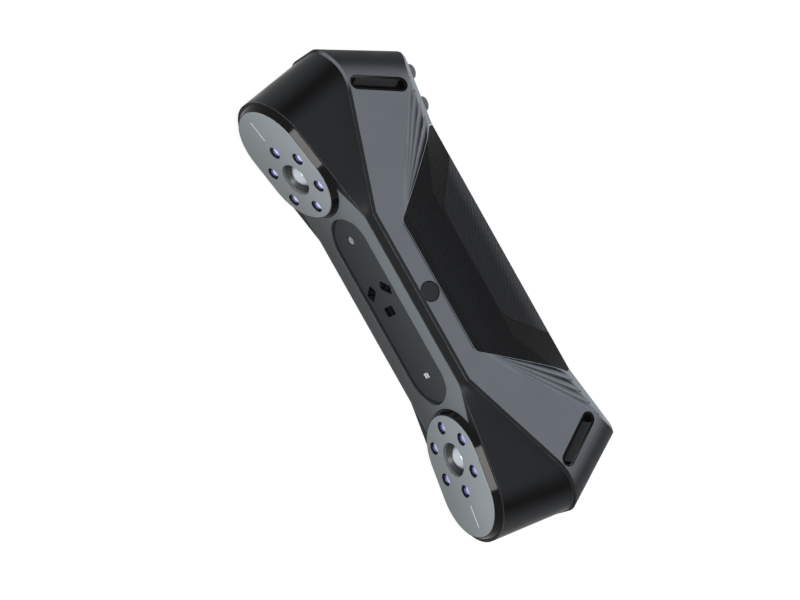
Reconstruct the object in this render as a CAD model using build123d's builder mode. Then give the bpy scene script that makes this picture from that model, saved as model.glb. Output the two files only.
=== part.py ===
from build123d import *
import os
from math import atan, cos, pi, radians, sin, tan

# Handheld three-d scanner, lying on one of its flat side panels.
# X runs along the body, from the button end (-X, called upper) to the port end (+X, called lower).
# The lenses look towards -Y, and +Z is the side panel that faces up.
# Depths are measured back from the lens centres, heights from the middle of the thickness.

# Body
body_length = 212.6
body_thickness = 49.0
shell_wall = 2.2
fit_gap = 0.1
move_gap = 0.3
end_corner = (25.0, 17.0)
end_lean = radians(26.1)
ridge_depth = 31.2
body_front = 0.0
tail_overrun = 13.0

# Back of the body, as cross sections along one half of the length
grip_station_share = 0.579
waist_inset = 49.3
tail_inset = 26.3
grip_crease = 22.5
grip_shoulder = (39.5, 22.0)
grip_brow = 59.8
waist_crease = 40.9
waist_shoulder = (53.0, 19.5)
waist_brow = 59.8
tail_crease = 55.0
tail_shoulder = (58.8, 20.0)
tail_brow = 63.4
brow_height = 14.0
back_round = 1.0
back_height = 11.0
tail_round = 6.5
tail_steps = 6
section_spare = 2.5
# How far each line of a section moves in when the form is drawn in by one unit
crease_draw = 0.45
shoulder_draw = 0.5
brow_draw = 0.6

# Seam between the two shells
seam_depth = 10.0
seam_rise = radians(20.5)
seam_flat_depth = 30.0
seam_flat_round = 30.0
seam_bevel = 1.0

# Front of the body
front_depth = 7.5
front_drop = 3.3
seam_drop = 1.1
front_end_inset = 6.7
seam_end_inset = 0.0
front_corner = (20.6, 20.6)
seam_corner = (25.0, 16.0)
front_wall = 4.5
end_slot_depth = 17.0
end_slot_height = 4.0
end_slot_size = (14.0, 1.1)
end_slot_deep = 0.8

# Pods, each turned in towards the middle
toe = radians(10.0)
pod_inset = 42.1
face_radius = 18.6
face_shift = 14.5
face_thickness = 1.5
face_edge = 0.3
bezel_radius = 20.4
bezel_depth = 2.8
bezel_length = 6.1
bezel_lip = 0.3
pod_opening = 16.6
lens_hole = 7.2
led_ring = 13.5
led_hole = 2.75
led_radius = 2.6
led_dome = 1.9
led_sunk = 0.3
led_count = 6
led_seat = 3.2
led_board_thickness = 1.2

# Cameras behind the pod faces
barrel_radius = 8.6
barrel_flange = 10.5
barrel_flange_thickness = 2.0
lens_bore = 5.6
cone_depth = 5.0
lens_radius = 5.55
lens_front = 0.8
lens_dome = 3.3
lens_thickness = 3.6
sensor_size = 20.0
sensor_thickness = 2.5
camera_board_size = 22.0
board_thickness = 1.6

# Optical bench
bench_depth = 15.5
bench_thickness = 4.0
bench_half = 18.5
bench_reach = 18.0

# Front panel and tinted window
panel_half = 20.5
panel_straight_reach = 2.2
panel_tip_reach = 16.2
panel_tip_half = 16.6
panel_thickness = 1.5
panel_opening_half = 18.0
window_reach = 4.6
window_radius = 12.7
window_sunk = 0.7
window_flange = 1.6
window_flange_thickness = 1.2
gasket_thickness = 0.5

# Lasers behind the window
# Places across the window, as a share of its half length and a height
laser_marks = ((-0.2194, -6.4), (-0.2194, 6.0), (0.0024, -0.3))
laser_lean = (30.0, -33.0, 0.0)
laser_size = (4.0, 7.0)
laser_sunk = 0.3
laser_lens_thickness = 1.6
laser_rib = 0.7
laser_rib_count = 4
laser_corner = 1.0
laser_bore = 1.3
laser_barrel_radius = 3.4
laser_block_share = 0.566
laser_block_height = 23.0
laser_block_front = 12.0

# Small sensors on the window's axis
eye_share = 0.7594
eye_radius = 1.9
eye_edge = 0.6
range_share = 0.7028
range_size = (2.2, 3.4)
range_groove = (0.6, 0.4)
sensor_body = 9.0
sensor_body_depth = 5.0

# Grip
grip_front = 19.8
grip_front_share = 0.5193
grip_corner_depth = 57.0
grip_corner_round = 3.0
grip_thickness = 2.0

# Flutes between the flat panels and the grip
flute_count = 4
flute_start_share = 0.5526
flute_start_depth = 21.5
flute_first_end = (16.0, 54.5)
flute_last_end = (0.5, 54.0)
# Sections along a flute: share of its length, radius and how deep it cuts
flute_tip = (0.08, 0.3, -0.05)
flute_middle = (0.55, 1.4, 0.8)
flute_full = (0.9, 2.1, 1.15)
flute_fade = (1.1, 2.2, -0.4)

# Vent slots
vent_inset = 24.8
vent_depth = 41.3
vent_length = 25.5
vent_width = 6.3
vent_lean = 28.0
liner_wall = 0.9
liner_height = 6.0
liner_sunk = 0.4
liner_ramp_foot = 0.2
liner_ramp_top = 0.9
liner_slit = (18.0, 1.5)
liner_slit_shift = 1.2

# Tripod socket and its plug
plug_depth = 14.65
plug_radius = 4.0
plug_thickness = 1.4
bush_length = 7.5
thread_radius = 2.55
boss_radius = 5.2
boss_floor = 1.0

# Push buttons on the back
button_insets = (25.9, 39.9)
button_height = 6.5
button_radius = 3.3
button_proud = 4.2
button_edge = 1.1
button_flange = 0.7
button_flange_thickness = 1.0
button_travel = 0.9
button_rest_gap = 0.6
switch_size = 5.0
switch_height = 2.0
plunger_radius = 1.7
switch_gap = 0.15
button_board_size = (28.4, 13.0)
button_board_thickness = 1.2
board_post_radius = 1.2
board_post_reach = 12.6

# Port at the lower end
port_depth = 50.0
port_recess = (9.6, 34.0)
port_recess_flare = 2.4
port_recess_deep = 1.5
port_recess_round = 3.0
port_pad_size = (13.5, 25.0)
port_pad = 2.6
port_opening = (3.3, 9.1)
port_shell_wall = 0.3
port_length = 7.4
port_tongue = (0.7, 6.6)
port_tongue_sunk = 0.9
port_board_size = (12.0, 20.0)
port_board_thickness = 1.2

# Main board in the grip
main_board_depth = 36.0
main_board_size = (96.0, 30.0)
standoff_share = 0.688
standoff_height = 11.0
standoff_radius = 2.4
sink_size = (40.0, 24.0)
sink_base = 1.6
sink_fin = 1.2
sink_fin_height = 6.0
sink_fin_count = 8

# Screws
screw_radius = 1.2
screw_hole = 1.3
screw_head_radius = 2.3
screw_head_height = 1.6
screw_length = 9.0
bench_screw_place = (-18.5, 13.0)
bench_boss_radius = 3.0
shell_screw_place = (5.0, 16.0)
shell_post = (7.0, 6.0)
shell_post_length = 12.0
shell_post_web = 8.0

# Frame: the origin is below the middle of the whole box
mid_z = body_thickness / 2
side_half = body_thickness / 2
ridge_half = body_length / 2
waist_station = ridge_half - waist_inset
grip_station = grip_station_share * waist_station
grip_front_half = grip_front_share * waist_station
grip_back_half = waist_station
tail_station = ridge_half - tail_inset
lens_x = ridge_half - pod_inset
vent_x = ridge_half - vent_inset
front_end_x = ridge_half - front_end_inset
seam_end_x = ridge_half - seam_end_inset
front_half = side_half - front_drop
seam_half = side_half - seam_drop
button_places = [inset - ridge_half for inset in button_insets]
back_slope = (tail_brow - waist_brow) / (tail_station - waist_station)


def back_depth(x):
    """Depth of the flat back at a place between the grip and the tail."""
    return waist_brow + back_round + (abs(x) - waist_station) * back_slope


def flank_height(x, depth):
    """Height of the sloping flank between the flat panel and the back, at a place off the grip."""
    if x < waist_station:
        share = (x - grip_station) / (waist_station - grip_station)
        near = (grip_crease, *grip_shoulder, grip_brow)
        off = (waist_crease, *waist_shoulder, waist_brow)
    else:
        share = (x - waist_station) / (tail_station - waist_station)
        near = (waist_crease, *waist_shoulder, waist_brow)
        off = (tail_crease, *tail_shoulder, tail_brow)
    crease, shoulder, shoulder_height, brow = [a + (b - a) * share for a, b in zip(near, off)]
    if depth < shoulder:
        return side_half - (side_half - shoulder_height) * max(depth - crease, 0) / (shoulder - crease)
    return shoulder_height - (shoulder_height - brow_height) * (depth - shoulder) / (brow - shoulder)


back_run = (1 + back_slope**2) ** 0.5
back_cos = 1 / back_run
back_sin = back_slope / back_run
front_reach = (face_shift + face_radius) * sin(toe)
button_reach = (button_proud - button_edge) * back_cos + (button_radius - button_edge) * back_sin
rear_reach = back_depth(button_places[0]) + button_reach + button_edge
lens_y = (front_reach - rear_reach) / 2
bend_x = lens_x - (front_depth - bezel_depth / cos(toe)) / tan(toe)
panel_straight = bend_x + panel_straight_reach
panel_tip = bend_x + panel_tip_reach
window_half = bend_x + window_reach
eye_x = -eye_share * window_half
range_x = range_share * window_half
laser_places = [(share * window_half, height) for share, height in laser_marks]
laser_block_size = (laser_block_share * window_half, laser_block_height)
far = body_length

sides = {"upper": -1, "lower": 1}
os.makedirs("parts", exist_ok=True)


def save(piece, name):
    """Label a finished piece and write its file."""
    piece.label = name
    export_step(piece, f"parts/{name}.step")


def front_plane(depth):
    """A plane across the body that faces the front: local x is X, local y is height."""
    return Plane(origin=(0, lens_y + depth, mid_z), x_dir=(1, 0, 0), z_dir=(0, -1, 0))


def cross_plane(x):
    """A plane square to the length: local x is depth, local y is height."""
    return Plane(origin=(x, lens_y, mid_z), x_dir=(0, 1, 0), z_dir=(1, 0, 0))


def side_plane(height):
    """A plane level with the side panels: local x is X, local y is depth."""
    return Plane(origin=(0, lens_y, mid_z + height))


def pod_plane(side, depth=0.0):
    """A plane at a depth behind a pod's face: local x points out along the body."""
    outward = Vector(side * cos(toe), -sin(toe), 0)
    forward = Vector(-side * sin(toe), -cos(toe), 0)
    centre = Vector(side * lens_x, lens_y, mid_z) - forward * depth
    return Plane(origin=centre, x_dir=outward, z_dir=forward)


def seam_plane(depth=0.0):
    """The sloping part of the seam at the lower end, or a plane behind it by depth."""
    forward = Vector(sin(seam_rise), -cos(seam_rise), 0)
    centre = Vector(bend_x, lens_y + seam_depth, mid_z) - forward * depth
    return Plane(origin=centre, x_dir=(cos(seam_rise), sin(seam_rise), 0), z_dir=forward)


def back_plane(x, sunk=0.0):
    """A plane on the sloping back near the buttons, facing out, or sunk below it."""
    outward = Vector(back_sin, back_cos, 0)
    centre = Vector(x, lens_y + back_depth(x), mid_z + button_height) - outward * sunk
    return Plane(origin=centre, x_dir=(back_cos, -back_sin, 0), z_dir=outward)


def port_plane(sunk=0.0):
    """A plane on the leaning lower end, facing out: local y is height."""
    outward = Vector(cos(end_lean), sin(end_lean), 0)
    x = ridge_half - (port_depth - ridge_depth) * tan(end_lean)
    centre = Vector(x, lens_y + port_depth, mid_z) - outward * sunk
    return Plane(origin=centre, x_dir=(-sin(end_lean), cos(end_lean), 0), z_dir=outward)


def end_slot_plane():
    """A plane on the upper end of the front shell, facing out: local x runs back, local y is height."""
    front_y = bezel_depth * cos(toe) - (front_end_x - lens_x) * tan(toe)
    seam_y = seam_depth + (seam_end_x - bend_x) * tan(seam_rise)
    splay = (seam_end_x - front_end_x) / (seam_y - front_y)
    x = -front_end_x - (end_slot_depth - front_y) * splay
    along = Vector(-splay, 1, 0).normalized()
    return Plane(origin=(x, lens_y + end_slot_depth, mid_z + end_slot_height), x_dir=along,
                 z_dir=(-along.Y, along.X, 0))


def soft_oblong(plane, length, half, corner):
    """An oblong with elliptical corners: corner gives their size along and across."""
    x = length / 2 - corner[0]
    z = half - corner[1]
    with BuildSketch(plane) as outline:
        with BuildLine():
            for quarter, centre in enumerate(((x, z), (-x, z), (-x, -z), (x, -z))):
                EllipticalCenterArc(centre, *corner, start_angle=90 * quarter, arc_size=90)
            Line((-x, half), (x, half))
            Line((-x, -half), (x, -half))
            Line((-length / 2, -z), (-length / 2, z))
            Line((length / 2, -z), (length / 2, z))
        make_face()
    return outline.sketch


def tail_turn():
    """Places round the corner from the back to the leaning end: X and how far the back draws in."""
    back_angle = atan(back_slope)
    end_angle = pi / 2 - end_lean
    turn = back_angle + end_angle
    corner_x = (ridge_half + (ridge_depth - back_depth(0)) * tan(end_lean)) / (1 + back_slope * tan(end_lean))
    run_up = tail_round * tan(turn / 2)
    centre_x = corner_x - run_up * back_cos + tail_round * back_sin
    centre_depth = back_depth(corner_x) - run_up * back_sin - tail_round * back_cos
    places = []
    for step in range(tail_steps + 1):
        angle = turn * step / tail_steps - back_angle
        depth = centre_depth + tail_round * cos(angle)
        places.append((centre_x + tail_round * sin(angle), back_depth(tail_station) - depth))
    return places


def rear_form(inset):
    """The outside of the rear body, or the same form drawn in by inset."""
    half = side_half - inset
    tail_depth = tail_brow + back_round + tail_overrun
    tail_length = body_length - 2 * (tail_depth - ridge_depth) * tan(end_lean)
    corner = (end_corner[0] - inset, end_corner[1] - inset)
    rings = ((body_front, body_length), (ridge_depth, body_length), (tail_depth, tail_length))
    plan = [soft_oblong(front_plane(depth), length - 2 * inset, half, corner) for depth, length in rings]
    stations = [(grip_station, grip_crease, grip_shoulder, grip_brow),
                (waist_station, waist_crease, waist_shoulder, waist_brow),
                (tail_station, tail_crease, tail_shoulder, tail_brow)]
    turn = tail_turn()
    for x, drop in (*turn, (far, turn[-1][1])):
        shoulder = (tail_shoulder[0] - drop, tail_shoulder[1])
        stations.append((x, tail_crease - drop, shoulder, tail_brow - drop))
    mirrored = [(-x, *rest) for x, *rest in reversed(stations)]
    sections = []
    for x, crease, shoulder, brow in (*mirrored, *stations):
        crease_y = crease - crease_draw * inset
        shoulder_y = shoulder[0] - shoulder_draw * inset
        shoulder_z = shoulder[1] - inset
        run_out = (crease_y - shoulder_y) * section_spare / (half - shoulder_z)
        top = half + section_spare
        upper = ((-far, top), (crease_y + run_out, top), (shoulder_y, shoulder_z),
                 (brow - inset, brow_height - brow_draw * inset),
                 (brow + back_round - inset, back_height - brow_draw * inset))
        lower = [(y, -z) for y, z in reversed(upper)]
        with BuildSketch(cross_plane(x)) as section:
            with BuildLine():
                Polyline(*upper, *lower, close=True)
            make_face()
        sections.append(section.sketch)
    with BuildPart() as form:
        loft(plan, ruled=True)
        loft(sections, ruled=True, mode=Mode.INTERSECT)
    return form.part


def ahead_of_seam():
    """Everything in front of the seam."""
    flat_x = bend_x + (seam_flat_depth - seam_depth) / tan(seam_rise)
    with BuildSketch(side_plane(0)) as outline:
        with BuildLine():
            Polyline((-far, -far), (far, -far), (far, seam_flat_depth), (flat_x, seam_flat_depth),
                     (bend_x, seam_depth), (-bend_x, seam_depth), (-flat_x, seam_flat_depth),
                     (-far, seam_flat_depth), close=True)
        make_face()
        fillet(outline.vertices().filter_by(lambda v: abs(abs(v.X) - flat_x) < fit_gap), seam_flat_round)
    with BuildPart() as block:
        extrude(outline.sketch, amount=body_thickness, both=True)
    return block.part


def wing_outline(plane, start, end, half, corner):
    """A half oblong: square at the middle of the body, with elliptical corners at its end."""
    x = end - corner[0]
    z = half - corner[1]
    with BuildSketch(plane) as outline:
        with BuildLine():
            Polyline((x, half), (start, half), (start, -half), (x, -half))
            EllipticalCenterArc((x, -z), *corner, start_angle=270, arc_size=90)
            Line((end, -z), (end, z))
            EllipticalCenterArc((x, z), *corner, start_angle=0, arc_size=90)
        make_face()
    return outline.sketch


def front_wings(inset, sunk, overrun):
    """Both ends of the front body, from the pod plane back to the seam plane."""
    depth = bezel_depth + sunk
    start = (bend_x - lens_x - depth * sin(toe)) / cos(toe)
    end = (front_end_x - lens_x) / cos(toe) - inset
    seam_end = (seam_end_x - bend_x) / cos(seam_rise) - inset
    pod_corner = [size - inset for size in front_corner]
    back_corner = [size - inset for size in seam_corner]
    with BuildPart() as wings:
        loft([wing_outline(pod_plane(1, depth), start, end, front_half - inset, pod_corner),
              wing_outline(seam_plane(overrun), 0, seam_end, seam_half - inset, back_corner)], ruled=True)
        mirror(about=Plane.YZ)
    return wings.part


def stadium(plane, radius):
    """The outline of a pod: round about the lens at one end, longer towards the body's end."""
    with BuildSketch(plane) as outline:
        with Locations((face_shift / 2, 0)):
            SlotCenterToCenter(face_shift, 2 * radius)
    return outline.sketch


def grip_prism(margin):
    """The part of the body that the grip covers, grown by a margin."""
    front = grip_front - margin
    with BuildSketch(side_plane(0)) as outline:
        with BuildLine():
            Polyline((-grip_front_half - margin, front), (grip_front_half + margin, front),
                     (grip_back_half + margin, grip_corner_depth), (grip_back_half + margin, far),
                     (-grip_back_half - margin, far), (-grip_back_half - margin, grip_corner_depth),
                     close=True)
        make_face()
        fillet(outline.vertices().group_by(Axis.Y)[0], grip_corner_round)
    with BuildPart() as prism:
        extrude(outline.sketch, amount=body_thickness, both=True)
    return prism.part


def vent_outline(side, height, margin):
    """One leaning vent slot on a side panel, drawn in by a margin."""
    with BuildSketch(side_plane(height)) as outline:
        with Locations((side * vent_x, vent_depth)):
            SlotOverall(vent_length - 2 * margin, vent_width - 2 * margin, rotation=90 + side * vent_lean)
    return outline.sketch


def panel_outline(plane, margin):
    """The front panel seen from the front, grown by a margin."""
    tip_x = panel_tip
    tip_z = panel_tip_half
    half = panel_half + margin
    with BuildSketch(plane) as outline:
        with BuildLine():
            Polyline((-tip_x, -tip_z - margin), (-panel_straight, -half), (panel_straight, -half),
                     (tip_x, -tip_z - margin), (tip_x, tip_z + margin), (panel_straight, half),
                     (-panel_straight, half), (-tip_x, tip_z + margin), close=True)
        make_face()
    return outline.sketch


def front_strip(depth, thickness, reach):
    """A bent strip that follows the front of the body, seen from the side panel."""
    wing = (reach - bend_x) * tan(toe)
    back = depth + thickness
    with BuildSketch(side_plane(0)) as outline:
        with BuildLine():
            Polyline((-reach, depth - wing), (-bend_x, depth), (bend_x, depth), (reach, depth - wing),
                     (reach, back - wing), (bend_x, back), (-bend_x, back), (-reach, back - wing), close=True)
        make_face()
    return outline.sketch


def window_outline(plane, margin):
    """The long round-ended window, grown by a margin."""
    with BuildSketch(plane) as outline:
        SlotOverall(2 * (window_half + margin), 2 * (window_radius + margin))
    return outline.sketch


def laser_outline(plane, place, lean, margin):
    """One laser outlet, a short oblong leaned over, grown by a margin."""
    with BuildSketch(plane) as outline:
        with Locations(Location((place[0], place[1], 0), (0, 0, lean))):
            RectangleRounded(laser_size[0] + 2 * margin, laser_size[1] + 2 * margin, laser_corner)
    return outline.sketch


def disc(plane, radius, places=((0, 0),)):
    """Round outlines of one radius on a plane."""
    with BuildSketch(plane) as outline:
        with Locations(*places):
            Circle(radius)
    return outline.sketch


def block(plane, size, places=((0, 0),)):
    """Oblong outlines of one size on a plane."""
    with BuildSketch(plane) as outline:
        with Locations(*places):
            Rectangle(*size)
    return outline.sketch


def both_heights(place):
    """A place and its mirror image across the middle of the thickness."""
    return ((place[0], place[1]), (place[0], -place[1]))


# Rear shell: a deep tub with a recess for the grip, fluted corners and the openings in its walls
with BuildPart() as grip_recess:
    add(grip_prism(fit_gap))
    add(rear_form(grip_thickness + fit_gap), mode=Mode.SUBTRACT)

with BuildPart() as rear_cavity:
    add(rear_form(shell_wall))
    add(grip_prism(shell_wall), mode=Mode.SUBTRACT)
    add(rear_form(grip_thickness + fit_gap + shell_wall))

bush_top = side_half - plug_thickness - move_gap
boss_bottom = bush_top - bush_length - boss_floor
plug_bore = plug_radius + move_gap

with BuildPart() as rear_shell:
    add(rear_form(0))
    add(ahead_of_seam(), mode=Mode.SUBTRACT)
    # Bevel along the seam: every rim edge, but not the bends that cross from side to side
    seam_faces = rear_shell.faces().filter_by(lambda face: face.normal_at().Y < -0.5)
    rim = seam_faces.edges().filter_by(
        lambda edge: abs(edge.center().X) > front_end_x or abs((edge @ 0).X - (edge @ 1).X) > fit_gap)
    chamfer(rim, seam_bevel)
    add(grip_recess.part, mode=Mode.SUBTRACT)
    add(rear_cavity.part, mode=Mode.SUBTRACT)
    # Boss of the tripod socket, flat where it meets the front panel
    with BuildSketch(side_plane(boss_bottom)) as boss:
        with Locations((0, plug_depth)):
            Circle(boss_radius)
        with Locations((0, seam_depth - boss_radius)):
            Rectangle(2 * boss_radius, 2 * boss_radius, mode=Mode.SUBTRACT)
    extrude(amount=side_half - shell_wall / 2 - boss_bottom)
    extrude(disc(side_plane(side_half), plug_bore, ((0, plug_depth),)),
            amount=bush_top - bush_length - side_half, mode=Mode.SUBTRACT)
    # Posts that take the shell screws
    for side in sides.values():
        extrude(block(pod_plane(side, bench_depth + bench_thickness), shell_post,
                      both_heights(shell_screw_place)), amount=-shell_post_length)
        web = side_half - shell_wall / 2 - shell_screw_place[1]
        web_place = (shell_screw_place[0], shell_screw_place[1] + web / 2)
        extrude(block(pod_plane(side, bench_depth + bench_thickness + shell_post_web), (shell_post[0], web),
                      both_heights(web_place)), amount=shell_post_web - shell_post_length)
        extrude(disc(pod_plane(side, bench_depth + bench_thickness), screw_hole,
                     both_heights(shell_screw_place)), amount=-screw_length, mode=Mode.SUBTRACT)
    # Vent slots, two in each side panel
    for side in sides.values():
        for face in (-1, 1):
            extrude(vent_outline(side, face * side_half, 0), amount=-face * 3 * shell_wall,
                    mode=Mode.SUBTRACT)
    # Flutes that fan out from each front corner of the grip
    for side in sides.values():
        for face in (-1, 1):
            for index in range(flute_count):
                share = index / (flute_count - 1)
                reach, end_depth = [a + (b - a) * share for a, b in zip(flute_first_end, flute_last_end)]
                run_x = waist_station + reach - flute_start_share * waist_station
                run_depth = end_depth - flute_start_depth
                rings = []
                for along, radius, deep in (flute_tip, flute_middle, flute_full, flute_fade):
                    x = flute_start_share * waist_station + along * run_x
                    depth = flute_start_depth + along * run_depth
                    height = flank_height(x, depth) + radius - deep
                    centre = Vector(side * x, lens_y + depth, mid_z + face * height)
                    rings.append(disc(Plane(origin=centre, z_dir=(side * run_x, run_depth, 0)), radius))
                loft(rings, ruled=True, mode=Mode.SUBTRACT)
    # Button holes and the posts of the button board
    for x in button_places:
        extrude(disc(back_plane(x), button_radius + move_gap), amount=-2 * shell_wall, mode=Mode.SUBTRACT)
    board_top = (shell_wall + button_rest_gap + button_flange_thickness + button_travel + switch_gap
                 + switch_height)
    button_mid = sum(button_places) / len(button_places)
    extrude(disc(back_plane(button_mid, shell_wall / 2), board_post_radius,
                 ((-board_post_reach, 0), (board_post_reach, 0))), amount=shell_wall / 2 - board_top)
    # Pad, recess and opening of the port
    with BuildSketch(port_plane(port_recess_deep + port_pad)) as pad:
        RectangleRounded(*port_pad_size, port_recess_round)
    extrude(amount=port_pad)
    with BuildSketch(port_plane(port_recess_deep)) as recess_floor:
        RectangleRounded(*port_recess, port_recess_round)
    with BuildSketch(port_plane(-fit_gap)) as recess_mouth:
        RectangleRounded(port_recess[0] + 2 * port_recess_flare, port_recess[1] + 2 * port_recess_flare,
                         port_recess_round + port_recess_flare)
    loft([recess_floor.sketch, recess_mouth.sketch], mode=Mode.SUBTRACT)
    with BuildSketch(port_plane(port_recess_deep + port_pad)) as opening:
        RectangleRounded(port_opening[0] + 2 * fit_gap, port_opening[1] + 2 * fit_gap, port_opening[0] / 2)
    extrude(amount=port_pad, mode=Mode.SUBTRACT)
save(rear_shell.part, "rear_shell")

# Grip sleeve: a rubber skin over the middle of the rear shell
with BuildPart() as grip_sleeve:
    add(rear_form(0))
    add(grip_prism(-fit_gap), mode=Mode.INTERSECT)
    add(rear_form(grip_thickness), mode=Mode.SUBTRACT)
save(grip_sleeve.part, "grip_sleeve")

# Front shell: a shallow black frame with a seat for each pod and for the front panel
with BuildPart() as panel_seat:
    extrude(front_strip(0, front_depth + panel_thickness + fit_gap, panel_tip), amount=side_half,
            both=True)
    extrude(panel_outline(front_plane(-far), fit_gap), amount=-2 * far, mode=Mode.INTERSECT)

with BuildPart() as front_shell:
    with BuildSketch(cross_plane(-bend_x)) as middle:
        with BuildLine():
            Polyline((front_depth, -front_half), (seam_depth, -seam_half), (seam_depth, seam_half),
                     (front_depth, front_half), close=True)
        make_face()
    extrude(amount=2 * bend_x)
    add(front_wings(0, 0, 0))
    add(ahead_of_seam(), mode=Mode.INTERSECT)
    add(front_wings(shell_wall, front_wall, front_wall), mode=Mode.SUBTRACT)
    extrude(block(front_plane(0), (2 * panel_straight, 2 * panel_opening_half)),
            amount=-3 * seam_depth, mode=Mode.SUBTRACT)
    extrude(window_outline(front_plane(0), window_flange + 2 * fit_gap), amount=-3 * seam_depth,
            mode=Mode.SUBTRACT)
    add(panel_seat.part, mode=Mode.SUBTRACT)
    extrude(block(end_slot_plane(), end_slot_size), amount=-end_slot_deep, mode=Mode.SUBTRACT)
    for side in sides.values():
        extrude(stadium(pod_plane(side, bezel_length + fit_gap), bezel_radius + fit_gap),
                amount=2 * bezel_length, mode=Mode.SUBTRACT)
        extrude(stadium(pod_plane(side, 2 * bezel_length), pod_opening), amount=2 * bezel_length,
                mode=Mode.SUBTRACT)
        extrude(disc(pod_plane(side, bench_depth), bench_boss_radius, both_heights(bench_screw_place)),
                amount=bench_depth - bezel_depth - front_wall)
        extrude(disc(pod_plane(side, bench_depth), screw_hole, both_heights(bench_screw_place)),
                amount=screw_length - bench_thickness, mode=Mode.SUBTRACT)
save(front_shell.part, "front_shell")

# Front panel: a grey plate between the pods with the window opening
with BuildPart() as front_panel:
    extrude(front_strip(front_depth, panel_thickness, panel_tip), amount=side_half, both=True)
    extrude(panel_outline(front_plane(-far), 0), amount=-2 * far, mode=Mode.INTERSECT)
    for side in sides.values():
        extrude(stadium(pod_plane(side, far), bezel_radius + 2 * fit_gap), amount=2 * far,
                mode=Mode.SUBTRACT)
    extrude(window_outline(front_plane(0), fit_gap), amount=-3 * seam_depth, mode=Mode.SUBTRACT)
save(front_panel.part, "front_panel")

# Tinted window with a flange behind the panel, and its gasket
window_front = front_depth + window_sunk
gasket_depth = front_depth + panel_thickness
flange_depth = gasket_depth + gasket_thickness
with BuildPart() as window_gasket:
    extrude(window_outline(front_plane(gasket_depth), window_flange), amount=-gasket_thickness)
    extrude(window_outline(front_plane(gasket_depth), fit_gap), amount=-gasket_thickness,
            mode=Mode.SUBTRACT)
save(window_gasket.part, "window_gasket")

with BuildPart() as centre_window:
    extrude(window_outline(front_plane(flange_depth), window_flange), amount=-window_flange_thickness)
    extrude(window_outline(front_plane(flange_depth), 0), amount=flange_depth - window_front)
    window_back = flange_depth + window_flange_thickness
    for place, lean in zip(laser_places, laser_lean):
        extrude(laser_outline(front_plane(window_front), place, lean, fit_gap),
                amount=window_front - window_back, mode=Mode.SUBTRACT)
    extrude(disc(front_plane(window_front), eye_radius + fit_gap, ((eye_x, 0),)),
            amount=window_front - window_back, mode=Mode.SUBTRACT)
    extrude(block(front_plane(window_front), (range_size[0] + 2 * fit_gap, range_size[1] + 2 * fit_gap),
                  ((range_x, 0),)), amount=window_front - window_back, mode=Mode.SUBTRACT)
save(centre_window.part, "centre_window")

# Laser outlets: three ribbed lenses set into the window
with BuildPart() as laser_lenses:
    for place, lean in zip(laser_places, laser_lean):
        extrude(laser_outline(front_plane(window_front + laser_sunk), place, lean, 0),
                amount=-laser_lens_thickness)
        turn = Location((place[0], place[1], 0), (0, 0, lean))
        with BuildSketch(front_plane(window_front + laser_sunk)) as grooves:
            with Locations(turn):
                with GridLocations(0, 2 * laser_rib, 1, laser_rib_count):
                    Rectangle(2 * laser_size[0], laser_rib)
        extrude(amount=-laser_rib / 2, mode=Mode.SUBTRACT)
save(laser_lenses.part, "laser_lenses")

# Laser block on the bench, with three barrels
bench_mid_depth = front_depth + (bench_depth - bezel_depth) / cos(toe)
with BuildPart() as laser_block:
    mid_x = (laser_places[0][0] + laser_places[2][0]) / 2
    extrude(block(front_plane(bench_mid_depth), laser_block_size, ((mid_x, 0),)),
            amount=bench_mid_depth - laser_block_front)
    extrude(disc(front_plane(bench_mid_depth), laser_barrel_radius + fit_gap / 2, laser_places),
            amount=bench_mid_depth - laser_block_front, mode=Mode.SUBTRACT)
save(laser_block.part, "laser_block")

with BuildPart() as laser_barrels:
    extrude(disc(front_plane(bench_mid_depth), laser_barrel_radius, laser_places),
            amount=bench_mid_depth - window_back)
    extrude(disc(front_plane(window_back), laser_bore, laser_places), amount=-laser_lens_thickness,
            mode=Mode.SUBTRACT)
save(laser_barrels.part, "laser_barrels")

# Colour camera and range sensor, each a small body behind the window with a front that fills its hole
with BuildPart() as colour_camera:
    extrude(block(front_plane(window_back), (sensor_body, sensor_body), ((eye_x, 0),)),
            amount=-sensor_body_depth)
    extrude(disc(front_plane(window_back), eye_radius, ((eye_x, 0),)),
            amount=window_back - window_front - fit_gap)
    fillet(colour_camera.edges().group_by(Axis.Y)[0], eye_edge)
save(colour_camera.part, "colour_camera")

with BuildPart() as range_sensor:
    extrude(block(front_plane(window_back), (sensor_body, sensor_body), ((range_x, 0),)),
            amount=-sensor_body_depth)
    extrude(block(front_plane(window_back), range_size, ((range_x, 0),)),
            amount=window_back - window_front - fit_gap)
    # Groove that parts the sender from the receiver
    extrude(block(front_plane(window_front + fit_gap), (range_size[0], range_groove[0]), ((range_x, 0),)),
            amount=-range_groove[1], mode=Mode.SUBTRACT)
save(range_sensor.part, "range_sensor")

# Optical bench: one bent plate that holds the cameras and the lasers in line
with BuildPart() as optical_bench:
    bench_end = lens_x + bench_reach
    extrude(front_strip(bench_mid_depth, bench_thickness / cos(toe), bench_end), amount=bench_half, both=True)
    for side in sides.values():
        extrude(disc(pod_plane(side, 0), barrel_radius + fit_gap), amount=-2 * bench_depth,
                mode=Mode.SUBTRACT)
        for place in (bench_screw_place, shell_screw_place):
            extrude(disc(pod_plane(side, 0), screw_hole, both_heights(place)), amount=-2 * bench_depth,
                    mode=Mode.SUBTRACT)
save(optical_bench.part, "optical_bench")

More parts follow.
